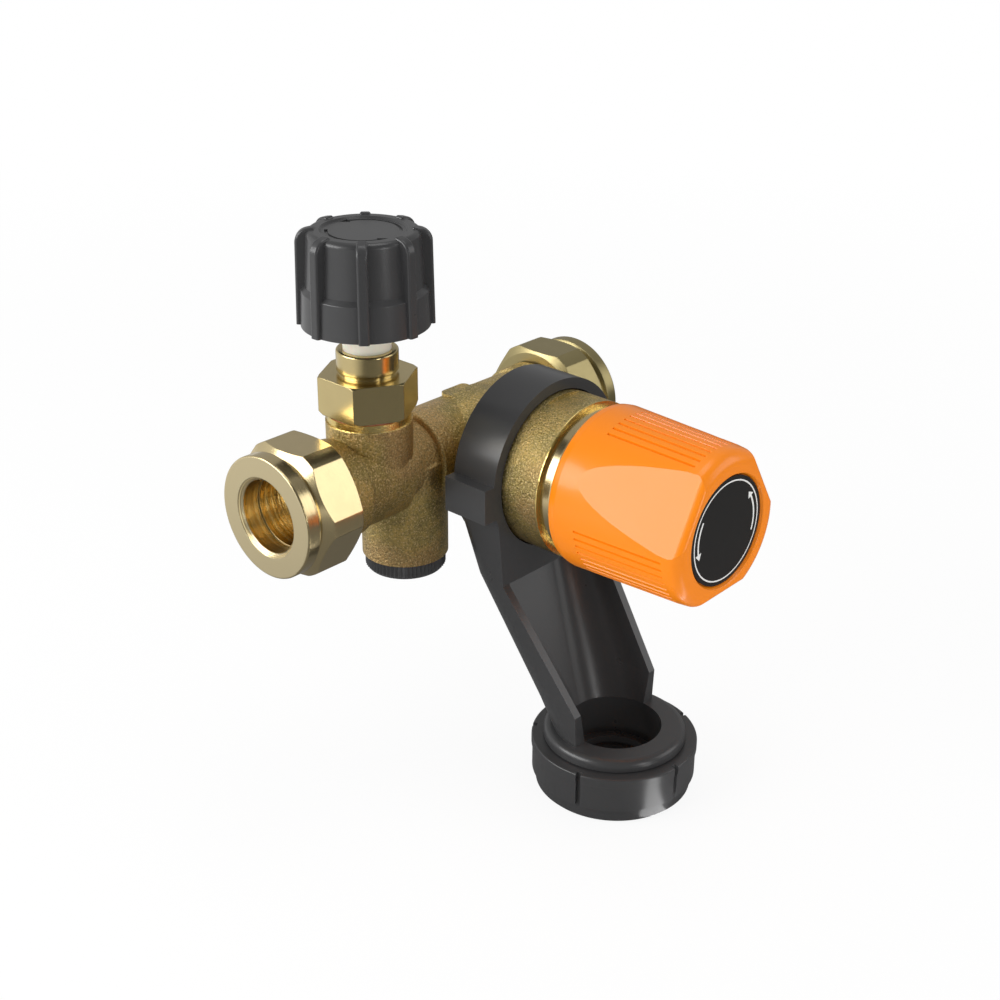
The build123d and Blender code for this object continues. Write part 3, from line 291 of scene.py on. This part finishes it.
def machined_brass(name, axis, centre, color=BRASS, rough=0.2, face=None, bore=0.0):
    """Turned brass with tool marks round its axis, dull towards face, with painted highlight rings inside
    the radius bore.
    """
    face_rough = 0.42
    material, tree, shader = new_material(name, color, rough, metallic=1.0)
    place = place_of(tree)
    lines = ring_lines(tree, place, axis, centre, POLISH_LINES)
    broad = noise(tree, place, scale=220, rough=0.55)
    dark = tuple(c * 0.82 for c in color)
    tone = blend_colors(tree, scaled(tree, broad, 0.0, 0.7), color, dark)
    # Painted highlight rings inside the bore radius
    inside = step_up(tree, from_axis(tree, place, axis, centre), bore + 0.3 * MM, bore)
    tone = blend_colors(tree, inside, tone, bore_highlight_rings(tree, place, axis, centre))
    line_rough = scaled(tree, lines, rough * 0.7, rough * 1.3)
    roughness = calc(tree, "ADD", line_rough, scaled(tree, broad, -0.03, 0.05))
    if face:
        dull = step_up(tree, facing(tree, face), 0.9, 0.97)
        tone = blend_colors(tree, scaled(tree, dull, 0.0, 0.85), tone, FACE_BRASS)
        roughness = blend_values(tree, dull, roughness, face_rough)
    tree.links.new(tone, shader.inputs["Base Color"])
    tree.links.new(roughness, shader.inputs["Roughness"])
    normal = bump(tree, lines, strength=0.22, distance=0.04 * MM, under=soft_edges(tree, 0.25 * MM))
    ridges = calc(tree, "MULTIPLY", ring_lines(tree, place, axis, centre, RIDGES), inside)
    normal = bump(tree, ridges, strength=0.8, distance=0.3 * MM, under=normal)
    tree.links.new(normal, shader.inputs["Normal"])
    return material


def moulded(name, color, rough, grain=0.12, coat=0.0, gloss=0.5):
    """Moulded plastic with a fine spark-eroded grain, and edges painted lighter as a painted highlight."""
    material, tree, shader = new_material(name, color, rough)
    place = place_of(tree)
    fine = noise(tree, place, scale=3400, detail=2.0, rough=0.6)
    broad = noise(tree, place, scale=130)
    # Edges painted lighter: a painted highlight along them
    edges = step_up(tree, edge_mask(tree, 0.5 * MM), 0.02, 0.2)
    edge_highlight = tuple(min(1.0, c * 1.25 + 0.006) for c in color)
    tone = blend_colors(tree, scaled(tree, edges, 0.0, 0.6), color, edge_highlight)
    tree.links.new(tone, shader.inputs["Base Color"])
    tree.links.new(scaled(tree, broad, rough - 0.02, rough + 0.03), shader.inputs["Roughness"])
    tree.links.new(bump(tree, fine, strength=grain, distance=0.04 * MM), shader.inputs["Normal"])
    shader.inputs["Specular IOR Level"].default_value = gloss
    shader.inputs["Coat Weight"].default_value = coat
    shader.inputs["Coat Roughness"].default_value = 0.12
    return material


def ivory_plastic():
    """Natural plastic that lets a little light in."""
    ivory = moulded("ivory_plastic", (0.82, 0.78, 0.66), rough=0.36)
    shader = ivory.node_tree.nodes["Principled BSDF"]
    shader.inputs["Subsurface Weight"].default_value = 0.2
    shader.inputs["Subsurface Scale"].default_value = 2 * MM
    return ivory


def rubber():
    material, tree, shader = new_material("rubber", (0.022, 0.022, 0.022), 0.62)
    place = place_of(tree)
    skin = noise(tree, place, scale=2600)
    tree.links.new(bump(tree, skin, strength=0.2, distance=0.05 * MM), shader.inputs["Normal"])
    tree.links.new(scaled(tree, noise(tree, place, scale=300), 0.5, 0.75), shader.inputs["Roughness"])
    return material


def drawn_steel():
    material, tree, shader = new_material("drawn_steel", (0.56, 0.56, 0.57), 0.3, metallic=1.0)
    place = place_of(tree)
    skin = noise(tree, place, scale=3000)
    tree.links.new(scaled(tree, noise(tree, place, scale=1800), 0.2, 0.42), shader.inputs["Roughness"])
    tree.links.new(bump(tree, skin, strength=0.15, distance=0.03 * MM), shader.inputs["Normal"])
    return material


def fibre():
    dark = (0.34, 0.11, 0.07)
    light = (0.55, 0.24, 0.15)
    material, tree, shader = new_material("fibre", (0.42, 0.15, 0.09), 0.8)
    specks = noise(tree, place_of(tree), scale=1500, detail=4.0, rough=0.7)
    tree.links.new(blend_colors(tree, specks, dark, light), shader.inputs["Base Color"])
    tree.links.new(bump(tree, specks, strength=0.3, distance=0.06 * MM), shader.inputs["Normal"])
    return material


def dress(material, *names):
    """Gives a material to CAD nodes, whose shapes stay as they are."""
    for name in names:
        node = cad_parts[name]
        node.data.materials.clear()
        node.data.materials.append(material)


def dress_all(casting):
    dress(casting, "valve_body")
    dress(machined_brass("inlet_brass", "Y", PIPE, face=(0, -1, 0), bore=NUT_BORE_RADIUS),
          "inlet_nut", "inlet_olive")
    # The outlet nut's darker colour is painted shade
    dress(machined_brass("outlet_brass", "Y", PIPE, SHADED_OUTLET_BRASS, OUTLET_ROUGH, (0, 1, 0), NUT_BORE_RADIUS),
          "outlet_nut", "outlet_olive")
    dress(machined_brass("bonnet_brass", "Z", STOP, BONNET_BRASS), "stop_bonnet", "stop_jumper")
    dress(machined_brass("housing_brass", "X", RELIEF, rough=0.18),
          "spring_housing", "disc_holder", "relief_stem", "spring_plate", "spring_adjuster")
    dress(moulded("charcoal_plastic", (0.042, 0.042, 0.043), rough=0.28),
          "handwheel", "check_plug", "tundish", "tundish_nut")
    dress(ivory_plastic(), "stop_spindle")
    dress(moulded("white_plastic", (0.78, 0.78, 0.75), rough=0.45), "check_cage", "check_poppet")
    dress(moulded("orange_plastic", (0.93, 0.245, 0.004), rough=0.28, grain=0.05, coat=0.15, gloss=0.35),
          "relief_knob")
    dress(moulded("label_black", (0.012, 0.011, 0.010), rough=0.35, grain=0.03), "knob_label")
    dress(rubber(), "spindle_ring", "stop_washer", "plug_ring", "poppet_seal", "relief_disc", "diaphragm",
          "tundish_washer")
    dress(drawn_steel(), "washer_screw", "check_spring", "relief_spring", "knob_screw")
    dress(fibre(), "bonnet_seal")


def add_object(name, vertices, faces, material):
    mesh = bpy.data.meshes.new(name)
    mesh.from_pydata(vertices, [], faces)
    mesh.materials.append(material)
    piece = bpy.data.objects.new(name, mesh)
    bpy.context.collection.objects.link(piece)
    return piece


# Raised line on the pad of the run, in millimetres

PAD_TOP_Z = 10.3
LINE_START = Vector((-0.6, 38.5, PAD_TOP_Z))
LINE_END = Vector((1.0, 42.3, PAD_TOP_Z))
LINE_HALF_WIDTH = 0.4
LINE_RISE = 0.3
LINE_TOP_SHARE = 0.5


def bar_corners(start, end, across):
    return [start - across, start + across, end + across, end - across]


def add_pad_line(material):
    """A low bar of the casting whose four sides slope, narrower on top than at its foot."""
    along = (LINE_END - LINE_START).normalized()
    across = Vector((along.y, -along.x, 0)) * LINE_HALF_WIDTH
    slope = along * LINE_RISE
    rise = Vector((0, 0, LINE_RISE))
    foot = bar_corners(LINE_START, LINE_END, across)
    top = bar_corners(LINE_START + slope + rise, LINE_END - slope + rise, across * LINE_TOP_SHARE)
    sides = [(i, (i + 1) % 4, (i + 1) % 4 + 4, i + 4) for i in range(4)]
    faces = sides + [(4, 5, 6, 7), (3, 2, 1, 0)]
    piece = add_object("pad_line", [corner * MM for corner in foot + top], faces, material)
    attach(piece, "valve")


# Print on the knob's label, a ring and two turning arrows, in millimetres and degrees

LABEL_FACE_X = 69.8
PRINT_RISE = 0.015
RING_RADII = (10.45, 10.75)
RING_STEPS = 120
ARROW_RADII = (9.1, 9.55)
ARROW_ENDS = ((-18, 33), (150, 192))
ARROW_STEPS = 16
HEAD_RADII = (8.4, 10.25)
HEAD_ANGLE = 9
TIP_RADIUS = 9.33


def label_point(radius, angle):
    """Point just above the label, at a radius and an angle from +Y towards +Z, in metres."""
    turn = math.radians(angle)
    place = (LABEL_FACE_X + PRINT_RISE, radius * math.cos(turn), radius * math.sin(turn))
    return Vector(place) * MM + Vector((0, RELIEF.y, RELIEF.z))


def print_strip(vertices, faces, radii, start, end, steps):
    """Flat curved band of the print between two radii and two angles."""
    first = len(vertices)
    for i in range(steps + 1):
        angle = start + (end - start) * i / steps
        vertices += [label_point(radius, angle) for radius in radii]
    for i in range(steps):
        a = first + 2 * i
        faces.append((a, a + 1, a + 3, a + 2))


def add_label_print():
    vertices, faces = [], []
    print_strip(vertices, faces, RING_RADII, 0, 360, RING_STEPS)
    for start, end in ARROW_ENDS:
        print_strip(vertices, faces, ARROW_RADII, start, end, ARROW_STEPS)
        first = len(vertices)
        vertices += [label_point(radius, end) for radius in HEAD_RADII]
        vertices.append(label_point(TIP_RADIUS, end + HEAD_ANGLE))
        faces.append((first, first + 1, first + 2))
    material, tree, shader = new_material("label_white", (0.80, 0.80, 0.78), 0.5)
    specks = noise(tree, place_of(tree), scale=2600)
    tree.links.new(scaled(tree, specks, 0.4, 0.6), shader.inputs["Roughness"])
    piece = add_object("label_print", vertices, faces, material)
    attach(piece, "knob")


# Studio

FLOOR_Z = cad_box[0][2]
FLOOR_REACH = 6.0
WHITE = (1, 1, 1, 1)

# Directions of the back and the left of the room, and how bright metal sees them, where 1 is white
BACK_SIDE = (-0.67, 0.63, 0.39)
BACK_LEVEL = 0.30
LEFT_SIDE = (-0.77, -0.64, 0.0)
LEFT_LEVEL = 0.6
LEFT_FLOOR_LEVEL = 0.8
DIM_LEVEL = 0.1

# Level of the world's light on the object
ROOM_LEVEL = 0.55

# Lamps round the object: azimuth from +X towards +Y and height in degrees, size in metres, watts
LAMP_DISTANCE = 0.7
LAMPS = {
    "key": (-117, 24, (0.60, 0.34), 3.5),
    "right": (42, 22, (0.4, 0.4), 0.85),
    "front": (-5, 8, (0.10, 0.30), 0.6),
}
TOP_PLACE = (0.05, 0.15, 0.75)
TOP_SIZE = (0.45, 0.3)
TOP_WATTS = 1.0

# A narrow lamp that lies on the floor before the knob and shines up
CARD_PLACE = Vector((0.098, 0.037, FLOOR_Z + 0.0005))
CARD_SIZE = (0.076, 0.007)
CARD_WATTS = 0.007


def seen_directly(tree, paths):
    """1 where the camera looks, also through something clear."""
    return calc(tree, "MAXIMUM", paths.outputs["Is Camera Ray"], paths.outputs["Is Transmission Ray"])


def add_floor():
    """White to the camera but for the object's shadow. Metal sees it pale on the left and dim elsewhere."""
    material, tree, shader = new_material("floor_white", (0.92, 0.92, 0.92), 0.9)
    shader.inputs["Specular IOR Level"].default_value = 0.0
    paths = put(tree, "ShaderNodeLightPath")
    glossy = paths.outputs["Is Glossy Ray"]
    place = place_of(tree)
    leftward = step_up(tree, dot(tree, place, LEFT_SIDE), 0.0, 0.2)
    mirrored = blend_values(tree, leftward, DIM_LEVEL, LEFT_FLOOR_LEVEL)
    light = put(tree, "ShaderNodeEmission", Color=WHITE, Strength=blend_values(tree, glossy, 1.0, mirrored))
    lit = calc(tree, "MAXIMUM", seen_directly(tree, paths), glossy)
    away = step_up(tree, from_axis(tree, place, "Z", MIDDLE), 0.15, 0.6)
    share = calc(tree, "MULTIPLY", lit, scaled(tree, away, 0.9, 1.0))
    mix = put(tree, "ShaderNodeMixShader", i0=share, i1=shader.outputs[0], i2=light.outputs[0])
    tree.links.new(mix.outputs[0], tree.nodes["Material Output"].inputs["Surface"])
    corners = [(x * FLOOR_REACH, y * FLOOR_REACH, FLOOR_Z) for x, y in ((-1, -1), (1, -1), (1, 1), (-1, 1))]
    floor = add_object("floor", corners, [(0, 1, 2, 3)], material)


def side_level(tree, direction, side, start, end, strength):
    """Light that metal sees round one side of the room."""
    return calc(tree, "MULTIPLY", step_up(tree, dot(tree, direction, side), start, end), strength)


def add_world():
    """White behind the object. Metal sees the back and the left of a room that is dim elsewhere."""
    world = bpy.data.worlds.new("studio")
    world.use_nodes = True
    bpy.context.scene.world = world
    tree = world.node_tree
    paths = put(tree, "ShaderNodeLightPath")
    direction = put(tree, "ShaderNodeTexCoord").outputs["Generated"]
    behind = side_level(tree, direction, BACK_SIDE, 0.0, 0.9, BACK_LEVEL)
    left = side_level(tree, direction, LEFT_SIDE, 0.2, 0.9, LEFT_LEVEL)
    gloss_level = calc(tree, "ADD", calc(tree, "MAXIMUM", behind, left), DIM_LEVEL)
    level = blend_values(tree, paths.outputs["Is Glossy Ray"], ROOM_LEVEL, gloss_level)
    level = blend_values(tree, seen_directly(tree, paths), level, 1.0)
    back = tree.nodes["Background"]
    back.inputs["Color"].default_value = WHITE
    tree.links.new(level, back.inputs["Strength"])


def add_lamp(name, place, target, size, watts):
    data = bpy.data.lights.new(name, "AREA")
    data.shape = "RECTANGLE"
    data.size, data.size_y = size
    data.energy = watts
    lamp = bpy.data.objects.new(name, data)
    lamp.location = place
    lamp.visible_camera = False
    lamp.rotation_euler = (Vector(target) - Vector(place)).to_track_quat("-Z", "Y").to_euler()
    bpy.context.collection.objects.link(lamp)


def from_middle(azimuth, height, distance):
    """Way from the middle of the object at an azimuth and a height, both in degrees."""
    turn, lift = math.radians(azimuth), math.radians(height)
    way = Vector((math.cos(turn) * math.cos(lift), math.sin(turn) * math.cos(lift), math.sin(lift)))
    return way * distance


def add_lights():
    for name, (azimuth, height, size, watts) in LAMPS.items():
        place = MIDDLE + from_middle(azimuth, height, LAMP_DISTANCE)
        add_lamp(name, place, MIDDLE, size, watts)
    add_lamp("top", TOP_PLACE, MIDDLE, TOP_SIZE, TOP_WATTS)
    add_lamp("card", CARD_PLACE, CARD_PLACE + Vector((0, 0, 1)), CARD_SIZE, CARD_WATTS)


add_camera()
cast_metal = cast_brass()
dress_all(cast_metal)
add_pad_line(cast_metal)
add_label_print()
add_floor()
add_world()
add_lights()
